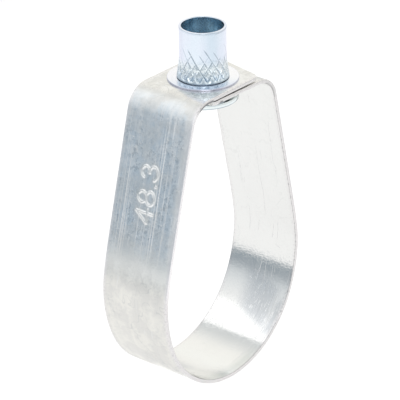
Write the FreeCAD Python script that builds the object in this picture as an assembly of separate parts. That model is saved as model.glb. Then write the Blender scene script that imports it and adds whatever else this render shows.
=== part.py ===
import FreeCAD, Part
import math
import os

os.makedirs("parts", exist_ok=True)

# Loop pipe hanger for a 1 1/2 inch steel pipe: one bent strap that swivels on a knurled nut.
# Millimetres. The origin is on the pipe's axis, in the middle of the strap's width.
# +Y runs along the pipe and +Z up to the rod.

# Pipe seat, the round bottom of the loop
pipe_radius = 24.15
seat_clearance = 0.15        # between the pipe and the strap
seat_half_angle = 67.0       # degrees of seat on each side of the lowest point
flank_radius = 31.4          # inner radius where the seat runs up into the legs

# Strap
band_width = 20.0
band_thickness = 1.0
edge_round = 0.2             # rolled long edges
upper_corner_round = 1.6     # corners of the upper layer's cut end
lower_corner_round = 1.2     # corners of the lower layer's cut end
upper_end_skew = 11.0        # degrees; the upper layer's end is cut out of square

# Top of the loop, where the two ends of the strap lie on each other
top_height = 52.7            # pipe axis to the upper face of the upper layer
layer_gap = 0.5              # air between the two layers
flat_left = 9.75             # rod axis to the centre of the left top bend
flat_right = 9.25            # rod axis to the centre of the right top bend
bend_radius = 5.8            # inner radius of the top bends
rod_offset = 1.05            # the rod axis stands this far beside the pipe's axis
upper_end_overrun = 1.5      # upper layer past the start of the right bend
lower_end_setback = 1.5      # lower layer stops this far short of the left bend

# Knurled nut, threaded for a 3/8 inch rod
thread_outer_radius = 4.76
thread_inner_radius = 4.0    # the bore's wall, at the tips of the thread
mouth_clearance = 0.39       # smooth mouth round the rod
mouth_wall = 0.6
mouth_depth = 5.5
smooth_height = 3.9          # plain neck above the knurl
knurl_height = 9.05
knurl_starts = 18            # grooves each way round
knurl_steps = 5              # half diamonds up the knurl
groove_depth = 0.15          # knurl grooves below the neck's surface
crest_height_top = 0.10      # knurl points above the neck's surface
crest_height_base = 0.6
flange_radius = 8.65
flange_thickness = 1.2
flange_edge = 0.25
lip_edge = 0.12              # broken edges of the mouth
bore_chamfer = 0.6

# Retaining washer on the neck, under the knurl
washer_radius = 8.7
washer_thickness = 0.4
washer_clearance = 0.1       # washer round the neck
washer_countersink = 0.2
washer_edge = 0.1

# Fits of the swivel
knurl_gap = 0.15             # knurl above the washer
strap_hole_clearance = 0.35  # strap round the neck
axial_play = 1.3             # lower layer above the flange

# Worked-out sizes
seat_radius = pipe_radius + seat_clearance
mouth_radius = thread_outer_radius + mouth_clearance
neck_radius = mouth_radius + mouth_wall
lower_top = top_height - band_thickness - layer_gap
lower_bottom = lower_top - band_thickness
upper_end = rod_offset + flat_right + upper_end_overrun
lower_end = rod_offset - flat_left + lower_end_setback
strap_hole_radius = neck_radius + strap_hole_clearance
flange_top = lower_bottom - axial_play
flange_bottom = flange_top - flange_thickness
washer_top = top_height + washer_thickness
washer_hole_radius = neck_radius + washer_clearance
knurl_bottom = washer_top + knurl_gap
knurl_top = knurl_bottom + knurl_height
nut_top = knurl_top + smooth_height
cut_margin = 1.0             # cutting tools reach this far past what they cut
tolerance = 1e-6


def point(x, z, y=0.0):
    return FreeCAD.Vector(x, y, z)


def on_circle(centre, radius, angle):
    """Point at an angle in degrees, from +X towards +Z."""
    a = math.radians(angle)
    return point(centre[0] + radius * math.cos(a), centre[1] + radius * math.sin(a))


def arc(centre, radius, start, end):
    """Arc edge between two angles in degrees."""
    middle = on_circle(centre, radius, (start + end) / 2.0)
    return Part.Arc(on_circle(centre, radius, start), middle, on_circle(centre, radius, end)).toShape()


def loop_side(side, top_z):
    """Centres and angles of one side of the loop; side is -1 for the left leg, 1 for the right.

    The leg is the straight line that touches the flank arc and the top bend.
    """
    seat_angle = math.radians(seat_half_angle)
    shift = flank_radius - seat_radius
    flank = (-shift * math.sin(seat_angle), shift * math.cos(seat_angle))
    flat = flat_left if side < 0 else flat_right
    bend = (flat + side * rod_offset, top_z - band_thickness - bend_radius)
    reach = math.hypot(bend[0] - flank[0], bend[1] - flank[1])
    heading = math.atan2(bend[1] - flank[1], bend[0] - flank[0])
    normal = math.degrees(heading - math.acos((flank_radius - bend_radius) / reach))
    return {"flank": flank, "bend": bend, "normal": normal, "top": top_z}


def mirrored(side, centre, angle):
    """The same centre and angle on the left side."""
    if side < 0:
        return (-centre[0], centre[1]), 180.0 - angle
    return centre, angle


def side_edges(side, offset, plate_end):
    """Edges from the bottom of the flank up to the end of the top layer.

    offset is 0 for the inner face of the strap and the thickness for the outer face.
    """
    data = loop_side(side, top_height if side < 0 else lower_top)
    flank, flank_start = mirrored(side, data["flank"], seat_half_angle - 90.0)
    bend, normal = mirrored(side, data["bend"], data["normal"])
    leg_foot = on_circle(flank, flank_radius + offset, normal)
    leg_head = on_circle(bend, bend_radius + offset, normal)
    plate_z = data["top"] - band_thickness + offset
    return [
        arc(flank, flank_radius + offset, flank_start, normal),
        Part.makeLine(leg_foot, leg_head),
        arc(bend, bend_radius + offset, normal, 90.0),
        Part.makeLine(point(bend[0], plate_z), point(plate_end, plate_z)),
    ]


def strap_face(upper_reach):
    """Outline of the bent strap seen along the pipe, its upper layer ending at upper_reach."""
    seat_start, seat_end = -90.0 - seat_half_angle, -90.0 + seat_half_angle
    edges = []
    for offset in (0.0, band_thickness):
        edges += side_edges(-1, offset, upper_reach)
        edges += side_edges(1, offset, lower_end)
        edges.append(arc((0.0, 0.0), seat_radius + offset, seat_start, seat_end))
    for end, top_z in ((upper_reach, top_height), (lower_end, lower_top)):
        edges.append(Part.makeLine(point(end, top_z - band_thickness), point(end, top_z)))
    return Part.Face(Part.Wire(Part.__sortEdges__(edges)))


def end_corners(strap, layer_top):
    """The two upright edges at the cut end of one layer."""
    found = []
    for edge in strap.Edges:
        box = edge.BoundBox
        upright = box.XLength < tolerance and box.YLength < tolerance
        in_layer = abs(box.ZMax - layer_top) < tolerance
        if upright and in_layer and abs(box.ZLength - band_thickness) < tolerance:
            found.append(edge)
    return found


def long_edges(strap):
    """The edges that run along the strap, on its two side faces."""
    found = []
    for edge in strap.Edges:
        box = edge.BoundBox
        if box.YLength < tolerance and abs(abs(box.YMin) - band_width / 2.0) < tolerance:
            found.append(edge)
    return found


def make_loop_band():
    """One strap: seat, flanks, legs, top bends and the two punched layers."""
    skew_reach = math.tan(math.radians(upper_end_skew)) * band_width / 2.0
    face = strap_face(upper_end + skew_reach + cut_margin)
    face.translate(point(0, 0, -band_width / 2.0))
    strap = face.extrude(point(0, 0, band_width))
    shear_low = top_height - band_thickness - layer_gap / 2.0
    shear = Part.makeBox(
        2.0 * skew_reach + 4.0 * cut_margin,
        2.0 * band_width,
        band_thickness + layer_gap,
        point(upper_end, shear_low, -band_width),
    )
    shear.rotate(point(upper_end, 0), point(0, 1), -upper_end_skew)
    strap = strap.cut(shear)
    strap = strap.makeFillet(upper_corner_round, end_corners(strap, top_height))
    strap = strap.makeFillet(lower_corner_round, end_corners(strap, lower_top))
    strap = strap.makeFillet(edge_round, long_edges(strap))
    punch = Part.makeCylinder(
        strap_hole_radius,
        top_height - lower_bottom + 2.0 * cut_margin,
        point(rod_offset, lower_bottom - cut_margin),
    )
    return strap.cut(punch)


def turned(outline):
    """Solid turned about the rod axis from (radius, z) points."""
    points = [point(rod_offset + radius, z) for radius, z in outline]
    face = Part.Face(Part.makePolygon(points + points[:1]))
    return face.revolve(point(rod_offset, 0), point(0, 1), 360.0)


def knurl_point(column, step, radius):
    """Point of the knurl's lattice: column half diamonds round, step half diamonds up."""
    angle = math.pi * column / knurl_starts
    z = knurl_bottom + knurl_height * step / knurl_steps
    return point(rod_offset + radius * math.cos(angle), z, radius * math.sin(angle))


def make_knurl():
    """Sleeve of diamond points: grooves cross at every other lattice point, crests stand between.

    The lowest crests stand out over the washer, and the grooves run out at the top.
    """
    root = neck_radius - groove_depth
    columns = 2 * knurl_starts
    lattice = []
    for step in range(knurl_steps + 1):
        share = step / knurl_steps
        crest = neck_radius + crest_height_base + share * (crest_height_top - crest_height_base)
        runs_out = step == knurl_steps
        row = []
        for column in range(columns):
            is_crest = (column + step) % 2 == 1 and not runs_out
            row.append(knurl_point(column, step, crest if is_crest else root))
        lattice.append(row)
    faces = []
    for step in range(knurl_steps):
        for column in range(columns):
            follower = (column + 1) % columns
            low, high = lattice[step], lattice[step + 1]
            if (column + step) % 2 == 1:
                triangles = ((low[column], low[follower], high[column]),
                             (low[follower], high[follower], high[column]))
            else:
                triangles = ((low[column], low[follower], high[follower]),
                             (low[column], high[follower], high[column]))
            for corners in triangles:
                faces.append(Part.Face(Part.makePolygon(list(corners) + [corners[0]])))
    for ring in (lattice[0], lattice[-1]):
        faces.append(Part.Face(Part.makePolygon(ring + ring[:1])))
    return Part.makeSolid(Part.makeShell(faces))


def make_knurled_nut():
    """Flange inside the loop, neck through the strap, knurl and smooth thin-walled mouth."""
    lower = turned([
        (0, flange_bottom),
        (flange_radius - flange_edge, flange_bottom),
        (flange_radius, flange_bottom + flange_edge),
        (flange_radius, flange_top - flange_edge),
        (flange_radius - flange_edge, flange_top),
        (neck_radius, flange_top),
        (neck_radius, knurl_bottom),
        (0, knurl_bottom),
    ])
    upper = turned([
        (0, knurl_top),
        (neck_radius, knurl_top),
        (neck_radius, nut_top - lip_edge),
        (neck_radius - lip_edge, nut_top),
        (0, nut_top),
    ])
    blank = make_knurl().fuse([lower, upper]).removeSplitter()
    thread_top = nut_top - mouth_depth
    cone = mouth_radius - thread_inner_radius
    bore = turned([
        (0, flange_bottom - cut_margin),
        (thread_inner_radius + bore_chamfer + cut_margin, flange_bottom - cut_margin),
        (thread_inner_radius, flange_bottom + bore_chamfer),
        (thread_inner_radius, thread_top - cone),
        (mouth_radius, thread_top),
        (mouth_radius, nut_top - lip_edge),
        (mouth_radius + lip_edge + cut_margin, nut_top + cut_margin),
        (0, nut_top + cut_margin),
    ])
    return blank.cut(bore)


def make_retaining_washer():
    """Flat ring on the neck, its hole opened out at the top under the knurl."""
    return turned([
        (washer_hole_radius, top_height),
        (washer_radius - washer_edge, top_height),
        (washer_radius, top_height + washer_edge),
        (washer_radius, washer_top - washer_edge),
        (washer_radius - washer_edge, washer_top),
        (washer_hole_radius + washer_countersink, washer_top),
        (washer_hole_radius, washer_top - washer_countersink),
    ])


def save(name, shape):
    shape.exportStep("parts/" + name + ".step")
    print(name, "solids", len(shape.Solids), "valid", shape.isValid(), "volume", round(shape.Volume, 2))


save("loop_band", make_loop_band())
save("knurled_nut", make_knurled_nut())
save("retaining_washer", make_retaining_washer())
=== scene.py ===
import math

import bmesh
import bpy
import numpy as np
from mathutils import Matrix, Vector


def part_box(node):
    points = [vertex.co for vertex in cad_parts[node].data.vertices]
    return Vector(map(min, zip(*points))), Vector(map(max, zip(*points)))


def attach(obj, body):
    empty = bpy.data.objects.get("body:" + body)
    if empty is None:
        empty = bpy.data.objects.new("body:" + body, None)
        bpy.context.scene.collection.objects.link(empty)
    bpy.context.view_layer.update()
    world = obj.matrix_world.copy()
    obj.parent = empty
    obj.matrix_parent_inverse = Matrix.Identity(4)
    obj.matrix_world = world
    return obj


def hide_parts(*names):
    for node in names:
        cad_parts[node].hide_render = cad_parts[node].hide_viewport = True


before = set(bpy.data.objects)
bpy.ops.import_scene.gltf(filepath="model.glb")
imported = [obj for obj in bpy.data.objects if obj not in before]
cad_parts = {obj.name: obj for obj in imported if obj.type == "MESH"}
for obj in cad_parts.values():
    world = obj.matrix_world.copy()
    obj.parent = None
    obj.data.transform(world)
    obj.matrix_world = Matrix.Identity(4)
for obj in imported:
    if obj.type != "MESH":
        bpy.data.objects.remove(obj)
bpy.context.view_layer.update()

# Loop pipe hanger: a bent galvanized strap that swivels on a knurled, zinc-plated nut.
# Sizes in the dictionaries are millimetres and degrees; the meshes are in metres.
mm = 0.001
strapLow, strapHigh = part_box("loop_band")
nutLow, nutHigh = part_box("knurled_nut")
washerLow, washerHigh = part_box("retaining_washer")
rodX = (washerLow.x + washerHigh.x) / 2 / mm        # the rod's axis, beside the pipe's axis
washerRadius = (washerHigh.x - washerLow.x) / 2 / mm
topHeight = strapHigh.z / mm
stripWidth = (strapHigh.y - strapLow.y) / mm
print("frame: rod axis x %.2f mm, strap top z %.2f mm" % (rodX, topHeight))


# Camera

cameraView = {
    "azimuth": -50.224, "elevation": 25.792, "roll": -0.645,
    "distance": 657.4,
    "aimRight": -0.386, "aimUp": 20.349,            # mm beside and above the pipe's axis
    "focal": 241.85, "sensor": 36.0, "clipStart": 50.0, "clipEnd": 20000.0,
}


def makeCamera():
    turn, rise, roll = (math.radians(cameraView[k]) for k in ("azimuth", "elevation", "roll"))
    right = Vector((math.cos(turn), math.sin(turn), 0))
    back = Vector((math.sin(turn) * math.cos(rise), -math.cos(turn) * math.cos(rise), math.sin(rise)))
    up = back.cross(right)
    tiltedRight = right * math.cos(roll) + up * math.sin(roll)
    tiltedUp = up * math.cos(roll) - right * math.sin(roll)
    aim = right * cameraView["aimRight"] + Vector((0, 0, cameraView["aimUp"]))
    camera = bpy.data.objects.new("productCamera", bpy.data.cameras.new("productCamera"))
    bpy.context.scene.collection.objects.link(camera)
    camera.data.lens = cameraView["focal"]
    camera.data.sensor_width = cameraView["sensor"]
    camera.data.clip_start = cameraView["clipStart"] * mm
    camera.data.clip_end = cameraView["clipEnd"] * mm
    camera.matrix_world = Matrix((
        (tiltedRight.x, tiltedUp.x, back.x, 0),
        (tiltedRight.y, tiltedUp.y, back.y, 0),
        (tiltedRight.z, tiltedUp.z, back.z, 0),
        (0, 0, 0, 1)))
    camera.location = (aim + back * cameraView["distance"]) * mm
    bpy.context.scene.camera = camera


# Node helpers

def addNode(tree, kind, inputs=None, **settings):
    # a new node with its settings, and its inputs fed by name
    node = tree.nodes.new(kind)
    for name, value in settings.items():
        setattr(node, name, value)
    for name, value in (inputs or {}).items():
        feed(node.inputs[name], value)
    return node


def feed(socket, value):
    # links a socket to another one, or sets its value; colours are always opaque
    if isinstance(value, bpy.types.NodeSocket):
        socket.id_data.links.new(value, socket)
    elif socket.type == "RGBA":
        socket.default_value = (*value[:3], 1)
    else:
        socket.default_value = value


def feedAll(node, places, values):
    for place, value in zip(places, values):
        feed(node.inputs[place], value)


def treeOf(values):
    # the node tree of the first socket among the values
    return next(value.id_data for value in values if isinstance(value, bpy.types.NodeSocket))


def calc(operation, *values):
    node = addNode(treeOf(values), "ShaderNodeMath", operation=operation)
    feedAll(node, range(len(values)), values)
    return node.outputs[0]


def chain(operation, values):
    first, *others = values
    for value in others:
        first = calc(operation, first, value)
    return first


def times(*values):
    return chain("MULTIPLY", values)


def plus(*values):
    return chain("ADD", values)


def larger(*values):
    return chain("MAXIMUM", values)


def minus(first, second):
    return calc("SUBTRACT", first, second)


def summed(*pairs):
    # the sum of some values, each times its weight
    return plus(*[times(value, weight) for value, weight in pairs])


def fromHalf(value):
    # how far a value is from a half, to either side
    return calc("ABSOLUTE", minus(value, 0.5))


def vectorCalc(operation, *values):
    node = addNode(treeOf(values), "ShaderNodeVectorMath", operation=operation)
    feedAll(node, range(len(values)), values)
    return node.outputs["Value" if operation in ("DOT_PRODUCT", "LENGTH") else "Vector"]


def spread(value, low, high, outLow=0.0, outHigh=1.0, smooth=True):
    values = (value, low, high, outLow, outHigh)
    node = addNode(treeOf(values), "ShaderNodeMapRange")
    node.interpolation_type = "SMOOTHSTEP" if smooth else "LINEAR"
    feedAll(node, range(len(values)), values)
    return node.outputs[0]


def fading(value, full, none):
    # 1 up to one value and 0 past the other
    return spread(value, full, none, 1.0, 0.0)


def mixColour(*values):
    # share, first colour, second colour
    node = addNode(treeOf(values), "ShaderNodeMix", data_type="RGBA")
    feedAll(node, (0, 6, 7), values)
    return node.outputs[2]


def mixNumber(*values):
    # share, first number, second number
    node = addNode(treeOf(values), "ShaderNodeMix", data_type="FLOAT")
    feedAll(node, (0, 2, 3), values)
    return node.outputs[0]


def parts(vector):
    # the three numbers of a vector or colour
    return addNode(vector.id_data, "ShaderNodeSeparateXYZ", {"Vector": vector}).outputs


def combine(*values):
    node = addNode(treeOf(values), "ShaderNodeCombineXYZ")
    feedAll(node, range(len(values)), values)
    return node.outputs[0]


def noise(vector, scale, detail, roughness, seed):
    return addNode(vector.id_data, "ShaderNodeTexNoise", {
        "Vector": vector, "W": seed, "Scale": scale, "Detail": detail, "Roughness": roughness,
    }, noise_dimensions="4D").outputs[0]


# the kinds of a group's sockets; every other one is a plain number
socketKinds = {
    "Vector": "Vector", "Geometry": "Geometry", "Path": "Object", "Material": "Material",
    "Columns": "Int", "Rows": "Int",
}


def newGroup(name, kind, inputs, output):
    tree = bpy.data.node_groups.new(name, kind)
    for socketName, way in [(inputName, "INPUT") for inputName in inputs] + [(output, "OUTPUT")]:
        socketKind = "NodeSocket" + socketKinds.get(socketName, "Float")
        tree.interface.new_socket(socketName, in_out=way, socket_type=socketKind)
    given = addNode(tree, "NodeGroupInput").outputs
    return tree, given, addNode(tree, "NodeGroupOutput").inputs[0]


def finishTree(geometry, given, result):
    tree = geometry.id_data
    realize = addNode(tree, "GeometryNodeRealizeInstances", {"Geometry": geometry})
    coat = addNode(tree, "GeometryNodeSetMaterial", {
        "Geometry": realize.outputs[0], "Material": given["Material"]})
    feed(result, coat.outputs[0])


def applyTree(piece, tree, values):
    # runs a geometry tree on a piece and leaves the plain mesh
    modifier = piece.modifiers.new(tree.name, "NODES")
    modifier.node_group = tree
    for item in tree.interface.items_tree:
        if item.in_out == "INPUT" and item.name in values:
            modifier[item.identifier] = values[item.name]
    bakeModifiers(piece)


# Mesh helpers

def bakeModifiers(piece):
    depsgraph = bpy.context.evaluated_depsgraph_get()
    made = bpy.data.meshes.new_from_object(
        piece.evaluated_get(depsgraph), preserve_all_data_layers=True, depsgraph=depsgraph)
    made.name = piece.name
    piece.modifiers.clear()
    piece.data = made


def newPiece(name, data):
    piece = bpy.data.objects.new(name, data)
    bpy.context.scene.collection.objects.link(piece)
    return piece


def outwards(mesh):
    # merges points that lie on each other and turns every face outwards
    work = bmesh.new()
    work.from_mesh(mesh)
    bmesh.ops.remove_doubles(work, verts=work.verts, dist=0.001 * mm)
    bmesh.ops.recalc_face_normals(work, faces=work.faces)
    work.to_mesh(mesh)
    work.free()
    return mesh


def smoothOver(mesh, sharpAngle):
    outwards(mesh)
    mesh.polygons.foreach_set("use_smooth", [True] * len(mesh.polygons))
    mesh.set_sharp_from_angle(angle=math.radians(sharpAngle))


def writeMask(mesh, name, values):
    mesh.attributes.new(name, "FLOAT", "POINT").data.foreach_set("value", np.array(values, np.float32))


def around(centre, radii, angles):
    # points round a centre, for one radius or for a width and a height
    wide, high = np.broadcast_to(radii, 2)
    turn = np.radians(angles)
    return np.stack((centre[0] + wide * np.cos(turn), centre[1] + high * np.sin(turn)), axis=-1)


def steps(start, stop, size):
    return list(np.linspace(start, stop, max(2, round(abs(stop - start) / size) + 1)))


def turnedMesh(outline, columns, centreX=0.0):
    # closed solid turned about an upright axis, from (radius, z) points that start and stop on the axis
    work = bmesh.new()
    rings = []
    for radius, z in outline:
        if radius == 0:
            rings.append([work.verts.new((centreX * mm, 0, z * mm))] * columns)
            continue
        turns = np.arange(columns) * 360 / columns
        ring = around((centreX, 0), radius, turns) * mm
        rings.append([work.verts.new((x, y, z * mm)) for x, y in ring])
    for low, high in zip(rings[:-1], rings[1:]):
        for column in range(columns):
            follower = (column + 1) % columns
            corners = [low[column], low[follower], high[follower], high[column]]
            work.faces.new(list(dict.fromkeys(corners)))
    bmesh.ops.recalc_face_normals(work, faces=work.faces)
    mesh = bpy.data.meshes.new("turned")
    work.to_mesh(mesh)
    work.free()
    return mesh


# Shader node groups

scratchShape = {"wobbleScale": 90.0, "wobbleReach": 1.5, "layerScale": 400.0, "softness": 0.05}


def makeStreakGroup():
    # long marks that follow the rolling direction of the sheet
    tree, given, result = newGroup("rollingStreaks", "ShaderNodeTree", (
        "Vector", "Lengthwise", "Crosswise", "Seed", "Low", "High"), "Streaks")
    stretch = combine(given["Lengthwise"], given["Crosswise"], given["Crosswise"])
    stretched = vectorCalc("MULTIPLY", given["Vector"], stretch)
    grain = noise(stretched, scale=1.0, detail=3.0, roughness=0.6, seed=given["Seed"])
    feed(result, spread(grain, given["Low"], given["High"]))
    return tree


def makeScratchGroup():
    # thin separate scratches lying at one angle
    tree, given, result = newGroup("handlingScratches", "ShaderNodeTree", (
        "Vector", "Angle", "Length", "Width", "Seed", "Amount"), "Scratches")
    turned = addNode(tree, "ShaderNodeVectorRotate", {
        "Vector": given["Vector"], "Angle": given["Angle"]}, rotation_type="Z_AXIS").outputs[0]
    wobble = noise(turned, scratchShape["wobbleScale"], detail=1.0, roughness=0.5, seed=given["Seed"])
    shifted = vectorCalc("ADD", turned, combine(0.0, times(wobble, scratchShape["wobbleReach"] * mm)))
    length, width = (calc("DIVIDE", 1.0, given[name]) for name in ("Length", "Width"))
    stretched = vectorCalc("MULTIPLY", shifted, combine(length, width, scratchShape["layerScale"]))
    cells = noise(stretched, scale=1.0, detail=0.0, roughness=0.5, seed=given["Seed"])
    limit = minus(1.0, given["Amount"])
    feed(result, spread(cells, limit, plus(limit, scratchShape["softness"])))
    return tree


def makeMottleGroup():
    # cloudy patches of a dipped or plated coat
    tree, given, result = newGroup("coatMottle", "ShaderNodeTree", (
        "Vector", "Size", "Detail", "Seed", "Low", "High"), "Mottle")
    scale = calc("DIVIDE", 1.0, given["Size"])
    clouds = noise(given["Vector"], scale, given["Detail"], roughness=0.6, seed=given["Seed"])
    feed(result, spread(clouds, given["Low"], given["High"]))
    return tree


groups = {"streaks": makeStreakGroup(), "scratches": makeScratchGroup(), "mottle": makeMottleGroup()}


def placeGroup(name, vector, **values):
    inputs = {"Vector": vector, **values}
    return addNode(vector.id_data, "ShaderNodeGroup", inputs, node_tree=groups[name]).outputs[0]


def streaks(vector, lengthwise, crosswise, seed, low, high):
    return placeGroup("streaks", vector, Lengthwise=lengthwise, Crosswise=crosswise, Seed=seed, Low=low,
                      High=high)


def mottle(vector, size, seed, low, high, detail=4.0):
    return placeGroup("mottle", vector, Size=size * mm, Detail=detail, Seed=seed, Low=low, High=high)


def newMaterial(name, metallic):
    material = bpy.data.materials.new(name)
    material.use_nodes = True
    shader = material.node_tree.nodes["Principled BSDF"].inputs
    shader["Metallic"].default_value = metallic
    return material, material.node_tree, shader


def painted(tree, name):
    return addNode(tree, "ShaderNodeAttribute", attribute_name=name).outputs["Fac"]


def lay(finish, name, base, share):
    # one of a finish's colours over a base; its fourth number is how strongly it covers
    return mixColour(times(share, finish[name][3]), base, finish[name])


def bumpInto(shader, height, distance, strength):
    bump = addNode(height.id_data, "ShaderNodeBump", {
        "Strength": strength, "Distance": distance * mm, "Height": height})
    feed(shader["Normal"], bump.outputs[0])


# Strap

strap = {
    "seatRadius": 24.3, "seatHalfAngle": 67.0, "flankRadius": 31.4, "bendRadius": 5.8, "thickness": 1.0,
    "flatLeft": 9.75, "flatRight": 9.25, "layerGap": 0.5, "lowerEndRise": 0.3,
    "upperOverrun": 1.5, "lowerSetback": 1.5,
    "upperSkew": 11.0, "upperCorner": 1.6, "lowerCorner": 1.2,
    "holeRadius": 6.1, "holeBreak": 0.1, "holeColumns": 96,
    "edgeRound": 0.2, "edgeSegments": 3, "cornerRows": 5, "sharpAngle": 38.0,
    "easing": 6.0,              # the spring of the strap eases each leg into its flank over this length
    "bendEasing": 1.2,
    "endZone": 9.0,             # the grid straightens out of the cut ends over this length
    "plateStep": 1.2, "bendStep": 0.45, "legStep": 1.0, "arcStep": 0.85,
    "rowStep": 1.0, "numeralStep": 0.15, "pathStep": 0.1,
    "rippleHeight": 0.05, "rippleSize": 16.0, "seed": 4.0,
}
numeral = {
    "startZ": 22.6,             # height where the mark starts on the left leg
    "lowY": -2.2, "height": 4.9, "digitWidth": 3.3, "gap": 1.15, "pointWidth": 0.7, "ovalPoints": 25,
    "strokeWidth": 0.34, "softness": 0.24, "relief": 0.2, "pressed": (1.3, 0.3), "margin": 0.9,
}


def sideOfLoop(side, topZ):
    # centres of the flank arc and the top bend, and the angle at which the leg touches both
    angle = math.radians(strap["seatHalfAngle"])
    shift = strap["flankRadius"] - strap["seatRadius"]
    flank = np.array((-shift * math.sin(angle), shift * math.cos(angle)))
    flat = strap["flatLeft"] - rodX if side < 0 else strap["flatRight"] + rodX
    bend = np.array((flat, topZ - strap["thickness"] - strap["bendRadius"]))
    reach = math.hypot(*(bend - flank))
    heading = math.atan2(bend[1] - flank[1], bend[0] - flank[0])
    normal = heading - math.acos((strap["flankRadius"] - strap["bendRadius"]) / reach)
    return flank, bend, math.degrees(normal)


def strapRuns():
    # the middle of the sheet, run by run from the upper layer's end to the lower layer's end
    half = strap["thickness"] / 2
    lowerTop = topHeight - strap["thickness"] - strap["layerGap"]
    leftFlank, leftBend, leftNormal = sideOfLoop(-1, topHeight)
    rightFlank, rightBend, rightNormal = sideOfLoop(1, lowerTop)
    mirror = np.array((-1.0, 1.0))
    leftFlank, leftBend, leftNormal = leftFlank * mirror, leftBend * mirror, 180 - leftNormal
    skewReach = math.tan(math.radians(strap["upperSkew"])) * stripWidth / 2
    upperStart = rodX + strap["flatRight"] + strap["upperOverrun"] + skewReach
    lowerStop = rodX - strap["flatLeft"] + strap["lowerSetback"]
    bendMid, flankMid = strap["bendRadius"] + half, strap["flankRadius"] + half
    seatStart = 270 - strap["seatHalfAngle"]
    seatStop = 270 + strap["seatHalfAngle"]
    return [
        ("plate", "line", (upperStart, topHeight - half), (leftBend[0], topHeight - half)),
        ("bend", "arc", leftBend, bendMid, 90, leftNormal),
        ("leg", "line", around(leftBend, bendMid, leftNormal), around(leftFlank, flankMid, leftNormal)),
        ("arc", "arc", leftFlank, flankMid, leftNormal, seatStart),
        ("arc", "arc", (0, 0), strap["seatRadius"] + half, seatStart, seatStop),
        ("arc", "arc", rightFlank, flankMid, seatStop, 360 + rightNormal),
        ("leg", "line", around(rightFlank, flankMid, rightNormal), around(rightBend, bendMid, rightNormal)),
        ("bend", "arc", rightBend, bendMid, rightNormal, 90),
        ("plate", "line", (rightBend[0], lowerTop - half),
         (lowerStop, lowerTop - half + strap["lowerEndRise"])),
    ]


def runLength(run):
    if run[1] == "line":
        return math.dist(run[2], run[3])
    return run[3] * math.radians(abs(run[5] - run[4]))


def runPoints(run, shares):
    if run[1] == "line":
        start, stop = np.array(run[2]), np.array(run[3])
        return start + (stop - start) * shares[:, None]
    return around(run[2], run[3], run[4] + (run[5] - run[4]) * shares)


def strapPath(runs):
    # points of the middle line, with the change of curvature at each leg's ends eased
    lengths = [runLength(run) for run in runs]
    pieces = []
    for run, length in zip(runs, lengths):
        count = max(2, round(length / strap["pathStep"]))
        pieces.append(runPoints(run, np.arange(count) / count))
    pieces.append(runPoints(runs[-1], np.array([1.0])))
    points = np.concatenate(pieces)
    along = np.concatenate(([0], np.cumsum(np.linalg.norm(np.diff(points, axis=0), axis=1))))
    joints = np.cumsum([0] + lengths)
    window = np.zeros(len(points))
    for joint, easing in ((3, "easing"), (6, "easing"), (2, "bendEasing"), (7, "bendEasing")):
        size = strap[easing]
        window = np.maximum(window, size * np.exp(-((along - joints[joint]) / size) ** 2))
    eased = points.copy()
    for axis in range(2):
        total = np.concatenate(([0], np.cumsum((points[1:, axis] + points[:-1, axis]) / 2 * np.diff(along))))
        usable = window > strap["pathStep"]
        low, high = along[usable] - window[usable], along[usable] + window[usable]
        eased[usable, axis] = (np.interp(high, along, total) - np.interp(low, along, total)) / (high - low)
    return eased, joints


def makePathCurve(points):
    data = bpy.data.curves.new("strapPath", "CURVE")
    data.dimensions = "3D"
    line = data.splines.new("POLY")
    line.points.add(len(points) - 1)
    coords = np.zeros((len(points), 4))
    coords[:, 0], coords[:, 2], coords[:, 3] = points[:, 0] * mm, points[:, 1] * mm, 1
    line.points.foreach_set("co", coords.ravel())
    return newPiece("strapPath", data)


def refined(values, low, high, size):
    # the same ladder of values, with finer rungs between low and high
    kept = [v for v in values if v < low - size / 2 or v > high + size / 2]
    return np.array(sorted(kept + steps(low, high, size)))


def endShape(y, corner, skew):
    # how far the cut end stands back at each place across the strap
    half = stripWidth / 2
    past = np.clip(np.abs(y) - (half - corner), 0, corner)
    rounding = corner - np.sqrt(np.maximum(corner ** 2 - past ** 2, 0))
    return rounding + math.tan(math.radians(skew)) * (half - y)


def strokeShapes():
    # the numeral 48.3, the pipe's outside size, in units of a digit's width and height
    def oval(centre, radii, start, stop):
        return around(centre, radii, np.linspace(start, stop, numeral["ovalPoints"]))

    four = [np.array(((0.72, 0), (0.72, 1), (0, 0.3), (1, 0.3)))]
    eight = [oval((0.5, 0.75), (0.4, 0.25), 0, 360), oval((0.5, 0.26), (0.5, 0.26), 0, 360)]
    point = [np.array(((0.4, 0.03), (0.6, 0.03)))]
    three = [oval((0.45, 0.75), (0.42, 0.25), 160, -90), oval((0.45, 0.26), (0.52, 0.26), 90, -160)]
    width = numeral["digitWidth"]
    return (four, width), (eight, width), (point, numeral["pointWidth"]), (three, width)


def numeralSegments(startAlong):
    # stroke segments as (along, across) pairs on the flat sheet, reading up the leg
    strokes, place = [], 0.0
    for shapes, width in strokeShapes():
        for shape in shapes:
            strokes.append(np.stack((startAlong - place - shape[:, 0] * width,
                                     numeral["lowY"] + shape[:, 1] * numeral["height"]), axis=-1))
        place += width + numeral["gap"]
    return strokes, place - numeral["gap"]


def strokeGap(along, across, strokes):
    # distance from each point to the nearest stroke
    nearest = np.full(len(along), np.inf)
    for stroke in strokes:
        for start, stop in zip(stroke[:-1], stroke[1:]):
            run = stop - start
            share = ((along - start[0]) * run[0] + (across - start[1]) * run[1]) / (run @ run)
            share = np.clip(share, 0, 1)
            gap = np.hypot(along - start[0] - share * run[0], across - start[1] - share * run[1])
            nearest = np.minimum(nearest, gap)
    return nearest


def fade(values, zero, one):
    # smooth step from 0 to 1 between two values
    share = np.clip((values - zero) / (one - zero), 0, 1)
    return share * share * (3 - 2 * share)


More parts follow.
